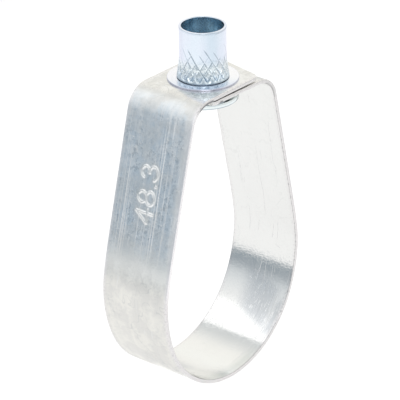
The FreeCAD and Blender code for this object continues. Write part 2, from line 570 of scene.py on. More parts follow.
def stripStations(runs, joints, numeralStart, numeralLength):
    # places along the flat strip where the mesh has an edge, closer together under the numeral
    stations = []
    for run, start, stop in zip(runs, joints[:-1], joints[1:]):
        stations += steps(start, stop, strap[run[0] + "Step"])[:-1]
    stations.append(joints[-1])
    margin = numeral["margin"]
    return refined(stations, numeralStart - numeralLength - margin, numeralStart + margin,
                   strap["numeralStep"])


def stripRows():
    # places across the strip, closer together under the numeral and towards the rounded corners
    inset = stripWidth / 2 - max(strap["upperCorner"], strap["lowerCorner"])
    margin = numeral["margin"]
    rows = refined(steps(-inset, inset, strap["rowStep"]), numeral["lowY"] - margin,
                   numeral["lowY"] + numeral["height"] + margin, strap["numeralStep"])
    turn = np.linspace(0, math.pi / 2, strap["cornerRows"] + 1)[1:]
    bow = np.sin(turn) * (stripWidth / 2 - strap["edgeRound"] - inset)
    return np.concatenate((-inset - bow[::-1], rows, inset + bow))


def makeBlank(stations, strokes):
    # the flat strip: x along the strap, y across it, z through the sheet
    rows = stripRows()
    half, deep, corner = stripWidth / 2, strap["thickness"] / 2, strap["edgeRound"]
    turn = np.linspace(0, math.pi / 2, strap["edgeSegments"] + 2)[1:]
    roundY, roundZ = half - corner + corner * np.sin(turn), deep - corner + corner * np.cos(turn)
    sideY = np.concatenate((roundY, roundY[::-1]))
    sideZ = np.concatenate((roundZ, -roundZ[::-1]))
    ringY = np.concatenate((rows, sideY, rows[::-1], -sideY))
    ringZ = np.concatenate((np.full(len(rows), deep), sideZ, np.full(len(rows), -deep), -sideZ))
    count, total = len(ringY), stations[-1]
    startShape = endShape(ringY, strap["upperCorner"], strap["upperSkew"])
    stopShape = endShape(ringY, strap["lowerCorner"], 0)
    coords = np.zeros((len(stations), count, 3))
    for ring, station in zip(coords, stations):
        fromStart = max(0, 1 - station / strap["endZone"])
        fromStop = max(0, 1 - (total - station) / strap["endZone"])
        ring[:, 0] = station + startShape * fromStart - stopShape * fromStop
        ring[:, 1], ring[:, 2] = ringY, ringZ
    outer = coords[:, :len(rows)]
    edge = numeral["strokeWidth"] / 2
    gaps = strokeGap(outer[:, :, 0].ravel(), outer[:, :, 1].ravel(), strokes).reshape(outer.shape[:2])
    outer[:, :, 2] += numeral["relief"] * fade(gaps, edge + numeral["softness"], edge)
    faces = []
    for base in range(0, (len(stations) - 1) * count, count):
        for j in range(count):
            k = (j + 1) % count
            faces.append((base + j, base + k, base + count + k, base + count + j))
    side = len(sideY)
    for base in (0, (len(stations) - 1) * count):
        upper = base + np.arange(len(rows))
        lower = base + len(rows) + side + np.arange(len(rows))[::-1]
        for j in range(len(rows) - 1):
            faces.append((upper[j], upper[j + 1], lower[j + 1], lower[j]))
        rightEnd = [base + len(rows) - 1 + j for j in range(side + 2)]
        leftEnd = [base + 2 * len(rows) + side - 1 + j for j in range(side + 1)] + [base]
        faces += [rightEnd, leftEnd]
    mesh = bpy.data.meshes.new("stripBlank")
    mesh.from_pydata((coords.reshape(-1, 3) * mm).tolist(), [], [[int(v) for v in f] for f in faces])
    return newPiece("bentStrap", outwards(mesh))


def punchHoles(piece, places):
    # round punches with a slight break where they leave the sheet
    deep, radius, holeBreak = strap["thickness"] / 2, strap["holeRadius"], strap["holeBreak"]
    wide = radius + holeBreak + deep
    outline = [(0, -2 * deep), (wide, -2 * deep), (radius, -deep + holeBreak),
               (radius, deep - holeBreak), (wide, 2 * deep), (0, 2 * deep)]
    for place in places:
        cutter = newPiece("punch", turnedMesh(outline, strap["holeColumns"], place))
        modifier = piece.modifiers.new("punch", "BOOLEAN")
        modifier.operation, modifier.solver, modifier.object = "DIFFERENCE", "EXACT", cutter
        bakeModifiers(piece)
        bpy.data.objects.remove(cutter)


# marks along the strap, each with its slopes: a joint between two runs of the strap, and how far past
# it the mark is nothing and is full
strapZones = {
    "drawn": ((1, 2, 9), (3, -0.5, -9)), "midLeg": ((2, 6, 18), (3, 0, -12)),
    "leftBend": ((1, 2, 5), (2, 1, -2)), "rightBend": ((7, -1, 2), (8, 1, -2)),
    "flankTop": ((3, -12, -3), (3, 5, -1)), "topPlate": ((1, 4, 0),), "paleLeg": ((1, 4, 6), (3, 10, 0)),
    "leftBendShade": ((1, -2.2, -1.2), (1, 4.8, 3.2)), "rightBendShade": ((7, -3, 0), (8, 0, -3)),
    "lowerEndShade": ((9, -3.9, -3.2), (9, -1.9, -2.5)),
}
# marks round a place or across the strap: where each one starts and where it is full
strapWear = {
    "scuffFromSeatEnd": 4.5, "scuffSlant": 0.4, "scuffReach": (7.5, 4), "scuffFar": (5.5, -0.5),
    "scuffNear": (-9.0, -5.5),
    "nearWearShift": 4.5, "nearWearReach": (7, 3), "nearWear": (-6.0, -8.5),
    "dullReach": (13, 5), "dulled": (-6.3, -8.8),
    "burrWidth": 0.13, "burrDepth": 0.1, "burrWiped": 0.9,
    "brightEdge": (2.2, 0.9), "edgeWear": (1.2, 0.3), "edgeWearAmount": 0.6,
    "edgeShades": {"leftBendShade": 1.0, "rightBendShade": 0.4, "lowerEndShade": 0.9},
    "touch": 1e-4,              # points this near the sheet's face are on it
}


def markSheet(mesh, joints, strokes):
    # writes the flat sheet's own coordinates as a UV map, and masks for what the sheet has been through and
    # for painted highlights and shade
    flat = np.zeros(len(mesh.vertices) * 3)
    mesh.vertices.foreach_get("co", flat)
    flat = flat.reshape(-1, 3)
    corners = np.zeros(len(mesh.loops), np.int32)
    mesh.loops.foreach_get("vertex_index", corners)
    layer = mesh.uv_layers.new(name="sheet")
    layer.data.foreach_set("uv", flat[corners, :2].astype(np.float32).ravel())
    along, across, through = (flat / mm).T
    deep = strap["thickness"] / 2
    onFace = np.abs(through) > deep - strapWear["touch"]
    fromEdge = stripWidth / 2 - np.abs(across)
    outer = (through > 0).astype(float)

    def zone(name):
        share = 1.0
        for joint, none, full in strapZones[name]:
            share = share * fade(along, joints[joint] + none, joints[joint] + full)
        return share

    def wear(values, name):
        return fade(values, *strapWear[name])

    # the left leg was drawn over a tool, and both bends are stretched on the outside
    drawn = outer * zone("drawn")
    stretched = outer * np.maximum(zone("leftBend"), zone("rightBend"))
    # a pipe has rubbed the seat's right shoulder on its near half
    shoulder = joints[5] - strapWear["scuffFromSeatEnd"]
    scuffed = wear(np.abs(along - shoulder - strapWear["scuffSlant"] * across), "scuffReach")
    scuffed = scuffed * wear(across, "scuffFar") * wear(across, "scuffNear")
    worn = wear(np.abs(along - shoulder + strapWear["nearWearShift"]), "nearWearReach")
    scuffed = np.maximum(scuffed, worn * wear(across, "nearWear"))
    # the lowest part is dull along its near edge
    lowest = (joints[4] + joints[5]) / 2
    dulled = (1 - outer) * wear(across, "dulled") * wear(np.abs(along - lowest), "dullReach")
    # the shear left a burr on the inner side of both long edges, and drawing wiped it off the left leg
    burr = (fromEdge < strapWear["burrWidth"]) & (through < strapWear["burrDepth"] - deep)
    # painted shade on the inner edge at both bends and at the lower layer's end
    edgeShades = sum(amount * zone(name) for name, amount in strapWear["edgeShades"].items())
    masks = {
        "outerFace": outer,
        "drawn": drawn,
        "midLeg": drawn * zone("midLeg"),
        # painted highlight along the drawn leg's near edge
        "brightEdge": drawn * wear(fromEdge, "brightEdge") * (across < 0),
        "stretched": stretched,
        "topPlate": outer * zone("topPlate"),
        "flankTop": outer * zone("flankTop"),       # painted highlight: the flank's top is made paler
        "scuffed": (1 - outer) * scuffed,
        "dulled": dulled,
        # the ridge mask also carries a painted highlight on the numeral's strokes
        "ridge": np.clip((through - deep) / numeral["relief"], 0, 1),
        "pressed": outer * fade(strokeGap(along, across, strokes), *numeral["pressed"]),
        "edgeWear": np.where(
            onFace, strapWear["edgeWearAmount"] * wear(fromEdge, "edgeWear") * (1 - dulled), 1.0),
        "paleLeg": zone("paleLeg"),
        "burr": burr * (1 - strapWear["burrWiped"] * zone("paleLeg")),
        "torn": edgeShades * ((fromEdge < strap["edgeRound"]) & (through < 0)),
    }
    for name, values in masks.items():
        writeMask(mesh, name, values)


def makeBendTree():
    # lays the flat strip along the path, with a slight ripple of the sheet
    tree, given, result = newGroup("bendAlongPath", "GeometryNodeTree", (
        "Geometry", "Path", "Ripple Height", "Ripple Size", "Seed", "Material"), "Geometry")
    path = addNode(tree, "GeometryNodeObjectInfo", {"Object": given["Path"]}).outputs["Geometry"]
    x, y, z = parts(addNode(tree, "GeometryNodeInputPosition").outputs[0])
    sample = addNode(tree, "GeometryNodeSampleCurve", {"Curves": path, "Length": x}, mode="LENGTH").outputs
    normal = vectorCalc("NORMALIZE", vectorCalc("CROSS_PRODUCT", (0, 1, 0), sample["Tangent"]))
    scale = calc("DIVIDE", 1.0, given["Ripple Size"])
    ripple = minus(noise(combine(x, y), scale, detail=1.0, roughness=0.4, seed=given["Seed"]), 0.5)
    lift = plus(z, times(ripple, given["Ripple Height"]))
    spot = vectorCalc("ADD", sample["Position"], vectorCalc("MULTIPLY", normal, lift))
    spot = vectorCalc("ADD", spot, combine(0.0, y))
    move = addNode(tree, "GeometryNodeSetPosition", {"Geometry": given["Geometry"], "Position": spot})
    finishTree(move.outputs[0], given, result)
    return tree


def makeBentStrap(material):
    runs = strapRuns()
    path, joints = strapPath(runs)
    leg = runs[2]
    share = (leg[2][1] - numeral["startZ"]) / (leg[2][1] - leg[3][1])
    numeralStart = joints[2] + share * runLength(leg)
    strokes, numeralLength = numeralSegments(numeralStart)
    piece = makeBlank(stripStations(runs, joints, numeralStart, numeralLength), strokes)
    upperHole = runs[0][2][0] - rodX
    lowerHole = joints[-2] + runs[-1][2][0] - rodX
    punchHoles(piece, (upperHole, lowerHole))
    markSheet(piece.data, joints, strokes)
    curve = makePathCurve(path)
    applyTree(piece, makeBendTree(), {
        "Path": curve, "Ripple Height": strap["rippleHeight"] * mm, "Ripple Size": strap["rippleSize"] * mm,
        "Seed": strap["seed"], "Material": material})
    bpy.data.objects.remove(curve)
    smoothOver(piece.data, strap["sharpAngle"])
    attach(piece, "loop")
    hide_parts("loop_band")
    print("strap: %d faces" % len(piece.data.polygons))


strapFinish = {
    # colours that lie side by side
    "inner": (0.87, 0.87, 0.858), "outer": (0.86, 0.847, 0.805), "edge": (0.84, 0.82, 0.82),
    "drawnDark": (0.68, 0.765, 0.84), "drawnPale": (1.0, 1.0, 1.0),
    # colours laid over them, each with how strongly it covers
    "topPlate": (0.905, 0.90, 0.89, 1.0), "stretched": (0.84, 0.88, 0.91, 0.7),
    "flankTop": (1.0, 0.995, 0.965, 1.0), "scuffed": (0.66, 0.68, 0.70, 1.0),
    "dulled": (0.73, 0.75, 0.735, 1.0), "rubbed": (1.0, 1.0, 1.0, 0.6),
    "darkMarks": (0.22, 0.30, 0.37, 0.65), "paleMarks": (1.0, 1.0, 1.0, 0.6),
    "paleLines": (1.0, 1.0, 1.0, 0.9), "brightEdge": (1.0, 1.0, 1.0, 0.85), "scored": (1.0, 1.0, 1.0, 1.0),
    "pressed": (0.82, 0.81, 0.78, 0.5), "ridge": (1.0, 1.0, 0.99, 0.8),
    "patches": (0.775, 0.765, 0.74, 0.85), "stained": (0.62, 0.625, 0.62, 1.0),
    "scratches": (0.90, 0.905, 0.91, 0.8), "nicks": (0.42, 0.42, 0.43, 0.6),
    "burr": (0.42, 0.42, 0.43, 1.0), "torn": (0.17, 0.17, 0.18, 0.85), "paleLeg": (0.96, 0.94, 0.95, 1.0),
    # streaks: scale along and across the sheet, seed, and where they start and are full
    "streaks": {
        "broad": (22.0, 330.0, 2.0, 0.38, 0.64), "fine": (110.0, 2400.0, 7.0, 0.42, 0.7),
        "bands": (9.0, 210.0, 12.0, 0.42, 0.57), "darkDashes": (380.0, 1100.0, 27.0, 0.56, 0.68),
        "paleDashes": (380.0, 1500.0, 33.0, 0.58, 0.74), "paleLines": (11.0, 2300.0, 61.0, 0.57, 0.64),
        "rubbed": (500.0, 1700.0, 52.0, 0.55, 0.66),
    },
    # patches: size, seed, and where they start and are full
    "mottles": {
        "clouds": (9.0, 1.0, 0.36, 0.66), "flecks": (0.6, 5.0, 0.42, 0.62),
        "fleckAreas": (6.0, 16.0, 0.44, 0.6), "stains": (4.0, 11.0, 0.6, 0.72),
        "blotches": (2.2, 25.0, 0.36, 0.64), "clusters": (4.5, 16.0, 0.40, 0.55),
        "darkSpecks": (0.8, 29.0, 0.48, 0.60), "paleSpecks": (0.8, 35.0, 0.57, 0.70),
        "patches": (5.5, 44.0, 0.45, 0.56), "nicks": (0.5, 31.0, 0.5, 0.62),
    },
    # scratches: angle in radians, length, seed and amount
    "scratchSets": ((0.01, 40.0, 41.0, 0.27), (0.03, 12.0, 3.0, 0.25), (-0.16, 5.0, 9.0, 0.225),
                    (0.75, 3.0, 15.0, 0.21), (1.9, 3.0, 21.0, 0.2)),
    "scratchWidth": 0.26,
    # scored lines: place across the sheet, half width, strength and seed
    "scoredLines": ((-3.35, 0.21, 0.85, 71.0), (-2.6, 0.16, 0.6, 72.0), (-5.0, 0.18, 0.7, 73.0),
                    (6.6, 0.18, 0.5, 74.0)),
    "scoreGaps": (45.0, 90.0, 0.36, 0.5), "scoreCore": 0.2, "lineShare": 0.3,
    "innerShift": 70.0,         # moves the pattern on the outer face, so that the faces differ
    "tideScale": 170.0, "tideWidth": 0.012, "innerWear": 0.25, "innerBump": 0.12, "cleanShare": 0.7,
    "edgeShadeLimits": (0.2, 0.65), "burrShares": (0.45, 0.95), "midLegPaleShare": 0.45, "bumpHeight": 0.02,
    # weights of what is added up
    "drawnWeights": {"bands": 0.55, "blotches": 0.45}, "darkWeights": (0.5, 0.65),
    "shadeWeights": {"broad": 0.22, "flecks": 0.3, "stains": 0.25, "tideLine": 0.7},
    "roughWeights": {"clouds": 0.05, "fine": 0.05, "scratches": 0.12},
    "bumpWeights": {"broad": 0.3, "fine": 0.2, "flecks": 0.3, "scratches": 0.8, "blotches": 0.6},
    "rough": {"inner": 0.07, "outer": 0.29, "topPlate": 0.18, "drawn": 0.27, "stretched": 0.42,
              "scored": 0.62, "scuffed": 0.4},
}
strapMasks = ("outerFace", "drawn", "midLeg", "brightEdge", "stretched", "topPlate", "flankTop", "scuffed",
              "dulled", "ridge", "pressed", "edgeWear", "paleLeg", "burr", "torn")


def strapScratches(place):
    width = strapFinish["scratchWidth"] * mm
    return larger(*[placeGroup("scratches", place, Angle=angle, Length=length * mm, Width=width, Seed=seed,
                               Amount=amount) for angle, length, seed, amount in strapFinish["scratchSets"]])


def scoredLines(place, acrossSheet):
    # a few long lines that the drawing tool scored down the leg, broken here and there
    alongScale, acrossScale, low, high = strapFinish["scoreGaps"]
    lines = []
    for across, width, strength, seed in strapFinish["scoredLines"]:
        away = calc("ABSOLUTE", minus(acrossSheet, across * mm))
        line = spread(away, strapFinish["scoreCore"] * width * mm, width * mm, strength, 0.0)
        lines.append(times(line, streaks(place, alongScale, acrossScale, seed, low, high)))
    return larger(*lines)


def makeStrapMaterial():
    material, tree, shader = newMaterial("galvanizedFinish", metallic=1.0)
    finish = strapFinish
    sheet = addNode(tree, "ShaderNodeUVMap", uv_map="sheet").outputs[0]
    mask = {name: painted(tree, name) for name in strapMasks}
    shift = combine(0.0, 0.0, times(mask["outerFace"], finish["innerShift"] * mm))
    place = vectorCalc("ADD", sheet, shift)
    mark = {name: mottle(place, *values) for name, values in finish["mottles"].items()}
    streak = {name: streaks(place, *values) for name, values in finish["streaks"].items()}
    tide = addNode(tree, "ShaderNodeTexNoise", {"Vector": place, "Scale": finish["tideScale"]},
                   noise_dimensions="3D").outputs[0]
    tideLine = fading(fromHalf(tide), 0.0, finish["tideWidth"])
    scratches = strapScratches(place)
    outerFace = mask["outerFace"]

    def over(base, share, name):
        return lay(finish, name, base, share)

    colour = mixColour(outerFace, finish["inner"], finish["outer"])
    for name in ("topPlate", "stretched", "flankTop", "scuffed", "dulled"):
        colour = over(colour, mask[name], name)
    # the drawn leg is blotched lengthwise, with short dark and pale dashes in clusters
    weights = finish["drawnWeights"]
    drawnShare = summed((streak["bands"], weights["bands"]), (mark["blotches"], weights["blotches"]))
    # painted shade: the middle of the drawn leg is darker, standing in for a darker reflection
    drawnShare = times(drawnShare, mixNumber(mask["midLeg"], 1.0, finish["midLegPaleShare"]))
    drawn = mixColour(drawnShare, finish["drawnDark"], finish["drawnPale"])
    dashWeight, speckWeight = finish["darkWeights"]
    darkSpecks = times(mark["darkSpecks"], mark["clusters"], speckWeight)
    darkMarks = larger(times(streak["darkDashes"], dashWeight), darkSpecks)
    drawn = over(drawn, darkMarks, "darkMarks")
    drawn = over(drawn, larger(streak["paleDashes"], mark["paleSpecks"]), "paleMarks")
    drawn = over(drawn, streak["paleLines"], "paleLines")
    # painted highlight: a white strip along the drawn leg's near edge
    drawn = over(drawn, mask["brightEdge"], "brightEdge")
    scored = larger(scoredLines(place, parts(sheet)[1]), times(streak["paleLines"], finish["lineShare"]))
    scored = times(scored, mask["drawn"])
    drawn = over(drawn, scored, "scored")
    colour = mixColour(mask["drawn"], colour, drawn)
    colour = over(colour, times(mask["scuffed"], streak["rubbed"]), "rubbed")
    colour = over(colour, mask["pressed"], "pressed")
    # painted highlight: the raised numeral's strokes are painted near white
    colour = over(colour, mask["ridge"], "ridge")
    # the inner face is less worn, and the drawn leg is wiped clean; the flank's top loses these marks too,
    # as part of its painted highlight
    worn = mixNumber(outerFace, finish["innerWear"], 1.0)
    clean = minus(1.0, times(larger(mask["drawn"], mask["flankTop"]), finish["cleanShare"]))
    weights = finish["shadeWeights"]
    shade = summed((times(streak["broad"], worn), weights["broad"]),
                   (times(mark["flecks"], mark["fleckAreas"]), weights["flecks"]),
                   (mark["stains"], weights["stains"]),
                   (times(tideLine, mark["clouds"]), weights["tideLine"]))
    colour = over(colour, times(outerFace, clean, mark["patches"]), "patches")
    colour = over(colour, times(shade, worn, clean), "stained")
    colour = over(colour, scratches, "scratches")
    # the sheared edges are nicked; painted shade darkens the inner edge at the bends and at the lower
    # layer's end
    edge = over(finish["edge"], mark["nicks"], "nicks")
    colour = mixColour(mask["edgeWear"], colour, over(edge, mask["paleLeg"], "paleLeg"))
    colour = over(colour, times(mask["burr"], mixNumber(mark["nicks"], *finish["burrShares"])), "burr")
    colour = over(colour, spread(mask["torn"], *finish["edgeShadeLimits"]), "torn")
    feed(shader["Base Color"], colour)

    fine = streak["fine"]
    rough = mixNumber(outerFace, finish["rough"]["inner"], finish["rough"]["outer"])
    areas = {
        "topPlate": mask["topPlate"], "drawn": mask["drawn"], "stretched": mask["stretched"],
        "scored": scored, "scuffed": times(mask["scuffed"], mixNumber(fine, 0.5, 1.0)),
    }
    for name, share in areas.items():
        rough = mixNumber(share, rough, finish["rough"][name])
    weights = finish["roughWeights"]
    uneven = summed((mark["clouds"], weights["clouds"]), (fine, weights["fine"]),
                    (scratches, weights["scratches"]))
    feed(shader["Roughness"], plus(rough, uneven))

    weights = finish["bumpWeights"]
    height = summed((streak["broad"], weights["broad"]), (fine, weights["fine"]))
    height = times(height, mixNumber(outerFace, finish["innerBump"], 1.0))
    height = plus(height, times(mark["flecks"], weights["flecks"]))
    height = minus(height, times(scratches, weights["scratches"]))
    dents = times(plus(darkMarks, times(mark["blotches"], weights["blotches"])), mask["drawn"])
    bumpInto(shader, minus(height, dents), finish["bumpHeight"], strength=1.0)
    return material


# Nut and washer

nut = {
    "columns": 432, "sharpAngle": 50.0,
    "threadOuter": 4.76, "threadInner": 4.0, "threadPitch": 1.5875, "mouthRadius": 5.15, "neckRadius": 5.75,
    "mouthDepth": 5.5, "smoothHeight": 3.9, "knurlHeight": 9.05, "lineReach": 10.2, "starts": 18,
    "knurlAngle": 31.0, "grooveDepth": 0.10, "crestBase": 0.6, "crestReach": 5.9,
    "flangeThickness": 1.2, "flangeRound": 0.25, "boreChamfer": 0.6, "lipRound": 0.14, "seed": 61.0,
    "neckFoot": ((0.5, 0.0), (0.12, 0.03), (0.0, 0.15)),        # out from the neck, and up from the flange
    "knurlStep": 0.11, "lineGap": 0.15, "smoothStep": 0.6, "mouthStep": 0.5, "mouthGap": 0.1,
    "mouthCone": 0.5, "threadStep": 0.2, "threadEase": 0.5,
    "lineDrift": 0.12, "shallowest": 0.45, "runOut": 0.85,      # how much the knurl's grooves differ
    "padReach": 0.8, "padLow": 0.6, "crestPower": 1.4, "crushScale": 2600.0, "crushDepth": 0.22,
    "cleanRing": (0.2, 0.7), "footShadow": (0.1, 0.4), "lineShade": (0.45, 0.95), "threadFlank": (0.1, 0.9),
}
# the knurling wheel ran twice: two long tracks, and two shallow ones beside them near the foot
knurlTracks = (
    {"way": 1.0, "shift": 0.3, "reach": (0.55, 1.0), "width": 0.18, "depth": 1.0},
    {"way": -1.0, "shift": 0.53, "reach": (0.45, 0.85), "width": 0.18, "depth": 1.0},
    {"way": 1.0, "shift": 0.5, "reach": (0.2, 0.45), "width": 0.2, "depth": 0.7},
    {"way": -1.0, "shift": 0.78, "reach": (0.18, 0.42), "width": 0.2, "depth": 0.7},
)
washer = {
    "holeRadius": 5.85, "countersink": 0.2, "sinkMargin": 0.3, "edgeRound": 0.1, "columns": 192,
    "sharpAngle": 35.0,
}


def quarter(centre, radius, start, stop, count=4):
    return [tuple(spot) for spot in around(centre, radius, np.linspace(start, stop, count))]


def climb(radius, start, stop, step):
    return [(radius, z) for z in steps(start, stop, step)]


def nutProfile():
    # closed outline of (radius, z, knurl share, thread share, bore share), from the bore's foot outwards
    foot, top = nutLow.z / mm, nutHigh.z / mm
    flange = (nutHigh.x - nutLow.x) / 2 / mm
    shoulder = foot + nut["flangeThickness"]
    knurlFoot = top - nut["smoothHeight"] - nut["knurlHeight"]
    threadTop = top - nut["mouthDepth"]
    corner, lip, cone = nut["flangeRound"], nut["lipRound"], nut["mouthCone"]
    inner, mouth, neck = nut["threadInner"], nut["mouthRadius"], nut["neckRadius"]
    plain = [(inner + nut["boreChamfer"], foot), (flange - 3 * corner, foot)]
    plain += quarter((flange - corner, foot + corner), corner, -90, 0)
    plain += quarter((flange - corner, shoulder - corner), corner, 0, 90)
    plain += [(neck + out, shoulder + up) for out, up in nut["neckFoot"]]
    plain += [(neck, knurlFoot)]
    linesTop = knurlFoot + nut["lineReach"]
    knurl = climb(neck, knurlFoot, linesTop, nut["knurlStep"])
    smooth = climb(neck, linesTop + nut["lineGap"], top - lip, nut["smoothStep"])
    smooth += quarter((neck - lip, top - lip), lip, 0, 90)
    smooth += quarter((mouth + lip, top - lip), lip, 90, 180)
    mouthWall = climb(mouth, top - lip - nut["mouthGap"], threadTop, nut["mouthStep"])
    mouthWall += [(mouth - cone, threadTop - cone)]
    thread = climb(inner, threadTop - (mouth - inner), foot + nut["boreChamfer"], nut["threadStep"])
    rows = []
    for points, inKnurl, inBore in ((plain, 0, 0), (knurl, 1, 0), (smooth, 0, 0), (mouthWall, 0, 1)):
        rows += [(*point, inKnurl, 0, inBore) for point in points]
    for r, z in thread:
        fromEnd = min(thread[0][1] - z, z - thread[-1][1])
        rows.append((r, z, 0, min(1, fromEnd / nut["threadEase"]), 1))
    return rows, knurlFoot


def washerProfile():
    foot, top = washerLow.z / mm, washerHigh.z / mm
    hole, corner = washer["holeRadius"], washer["edgeRound"]
    sunk = hole + washer["countersink"]
    flat = washerRadius - 4 * corner
    outline = [(hole, foot), (flat, foot)]
    outline += quarter((washerRadius - corner, foot + corner), corner, -90, 0)
    outline += quarter((washerRadius - corner, top - corner), corner, 0, 90)
    outline += [(flat, top), (sunk + washer["sinkMargin"], top), (sunk, top)]
    outline += [(hole, top - washer["countersink"])]
    return [(*point, 0, 0, 0) for point in outline]


def knurlTrack(turn, up, given, track):
    # one set of parallel grooves: how deep in a groove each point is, and how far from the nearest one
    phase = plus(turn, track["shift"], times(up, given["Lean"], track["way"]))
    number = calc("ROUND", phase)
    start = calc("FLOORED_MODULO", number, given["Starts"])
    spot = combine(start, plus(given["Seed"], 10.0 * track["shift"]))
    chance = addNode(spot.id_data, "ShaderNodeTexWhiteNoise", {"Vector": spot}, noise_dimensions="2D")
    lots = parts(chance.outputs["Color"])

    def drawLot(lot, low, high):
        return spread(lot, 0.0, 1.0, low, high, smooth=False)

    drift = drawLot(lots[0], -nut["lineDrift"], nut["lineDrift"])
    away = times(calc("ABSOLUTE", minus(plus(phase, drift), number)), 2.0)
    groove = fading(away, 0.0, track["width"])
    reach = times(drawLot(lots[1], *track["reach"]), given["Line Reach"])
    run = fading(up, times(reach, nut["runOut"]), reach)
    deep = drawLot(lots[2], nut["shallowest"] * track["depth"], track["depth"])
    return times(groove, run, deep), away


def makeTurnedTree():
    # turns a profile about the rod axis, rolls the knurl into the neck and cuts the thread in the bore
    tree, given, result = newGroup("turnedPiece", "GeometryNodeTree", (
        "Geometry", "Columns", "Rows", "Axis X", "Knurl Foot", "Line Reach", "Starts", "Lean",
        "Groove Depth", "Crest Base", "Crest Reach", "Thread Pitch", "Thread Depth", "Seed", "Material",
    ), "Geometry")
    rowsOne = plus(given["Rows"], 1)
    grid = addNode(tree, "GeometryNodeMeshGrid", {
        "Vertices X": plus(given["Columns"], 1), "Vertices Y": rowsOne}).outputs["Mesh"]
    index = addNode(tree, "GeometryNodeInputIndex").outputs[0]
    column = calc("FLOOR", calc("DIVIDE", plus(index, 0.5), rowsOne))
    row = calc("FLOORED_MODULO", minus(index, times(column, rowsOne)), given["Rows"])

    def ofProfile(value, kind):
        return addNode(tree, "GeometryNodeSampleIndex", {
            "Geometry": given["Geometry"], "Value": value, "Index": row,
        }, data_type=kind, domain="POINT").outputs[0]

    def share(name):
        named = addNode(tree, "GeometryNodeInputNamedAttribute", {"Name": name}, data_type="FLOAT")
        return ofProfile(named.outputs[0], "FLOAT")

    def between(value, limits):
        return spread(value, limits[0] * mm, limits[1] * mm)

    position = addNode(tree, "GeometryNodeInputPosition").outputs[0]
    outline = parts(ofProfile(position, "FLOAT_VECTOR"))
    radius, z = outline[0], outline[2]
    part = calc("FRACT", calc("DIVIDE", column, given["Columns"]))
    turn = times(part, given["Starts"])
    angle = times(part, 2 * math.pi)
    cosine, sine = calc("COSINE", angle), calc("SINE", angle)
    surface = combine(times(cosine, radius), times(sine, radius), z)
    up = minus(z, given["Knurl Foot"])
    tracks = [knurlTrack(turn, up, given, track) for track in knurlTracks]
    groove = larger(*[depth for depth, away in tracks])
    pad = spread(calc("MINIMUM", tracks[0][1], tracks[1][1]), 0.0, nut["padReach"], nut["padLow"], 1.0)
    rise = spread(up, 0.0, given["Crest Reach"], 1.0, 0.0, smooth=False)
    crest = times(calc("POWER", rise, nut["crestPower"]), given["Crest Base"])
    crushed = minus(noise(surface, nut["crushScale"], detail=1.0, roughness=0.5, seed=given["Seed"]), 0.5)
    crushed = times(crushed, rise, nut["crushDepth"] * mm)
    pads = times(crest, pad, minus(1.0, groove))
    knurl = minus(plus(pads, crushed), times(groove, given["Groove Depth"]))
    # the lowest ring of the knurl is turned clean
    knurl = mixNumber(between(up, nut["cleanRing"]), crest, knurl)
    knurlShare = share("knurlShare")
    helix = minus(calc("DIVIDE", z, given["Thread Pitch"]), part)
    ridge = spread(times(fromHalf(calc("FRACT", helix)), 2.0), *nut["threadFlank"], smooth=False)
    thread = times(ridge, given["Thread Depth"], share("threadShare"))
    reach = plus(radius, times(knurl, knurlShare), thread)
    spot = combine(plus(times(reach, cosine), given["Axis X"]), times(reach, sine), z)
    geometry = addNode(tree, "GeometryNodeSetPosition", {"Geometry": grid, "Position": spot}).outputs[0]
    shadow = minus(1.0, between(up, nut["footShadow"]))
    lines = spread(groove, *nut["lineShade"])
    # the fields read the grid's own order, so they are stored before the seam is merged
    # painted shade: the knurl's grooves and the ring under its foot are darkened
    shades = {
        "recess": times(larger(lines, shadow), knurlShare), "bore": share("boreShare"),
        "knurl": times(knurlShare, rise),
    }
    for name, value in shades.items():
        geometry = addNode(tree, "GeometryNodeStoreNamedAttribute", {
            "Geometry": geometry, "Name": name, "Value": value,
        }, data_type="FLOAT", domain="POINT").outputs[0]
    merge = addNode(tree, "GeometryNodeMergeByDistance", {"Geometry": geometry, "Distance": 0.001 * mm})
    finishTree(merge.outputs[0], given, result)
    return tree


def makeTurnedPiece(name, tree, rows, sizes, settings, material):
    mesh = bpy.data.meshes.new(name)
    mesh.from_pydata([(row[0] * mm, 0, row[1] * mm) for row in rows], [], [])
    for index, attribute in enumerate(("knurlShare", "threadShare", "boreShare")):
        writeMask(mesh, attribute, [row[2 + index] for row in rows])
    piece = newPiece(name, mesh)
    applyTree(piece, tree, {
        "Columns": sizes["columns"], "Rows": len(rows), "Axis X": rodX * mm, "Material": material,
        **settings})
    smoothOver(piece.data, sizes["sharpAngle"])
    print("%s: %d faces" % (name, len(piece.data.polygons)))
    return piece


def makeKnurledNut(tree, material):
    rows, knurlFoot = nutProfile()
    lean = math.tan(math.radians(nut["knurlAngle"])) / nut["neckRadius"] * nut["starts"] / (2 * math.pi)
    piece = makeTurnedPiece("knurledNut", tree, rows, nut, {
        "Knurl Foot": knurlFoot * mm, "Line Reach": nut["lineReach"] * mm, "Starts": float(nut["starts"]),
        "Lean": lean / mm, "Groove Depth": nut["grooveDepth"] * mm, "Crest Base": nut["crestBase"] * mm,
        "Crest Reach": nut["crestReach"] * mm, "Thread Pitch": nut["threadPitch"] * mm,
        "Thread Depth": (nut["threadOuter"] - nut["threadInner"]) * mm, "Seed": nut["seed"]}, material)
    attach(piece, "nut")
    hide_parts("knurled_nut")


def makeRetainingWasher(tree, material):
    # it has no knurl and no thread, so the values below only keep the tree from dividing by zero
    piece = makeTurnedPiece("retainingWasher", tree, washerProfile(), washer, {
        "Line Reach": 1.0, "Starts": 1.0, "Crest Reach": 1.0, "Thread Pitch": 1.0}, material)
    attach(piece, "washer")
    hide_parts("retaining_washer")


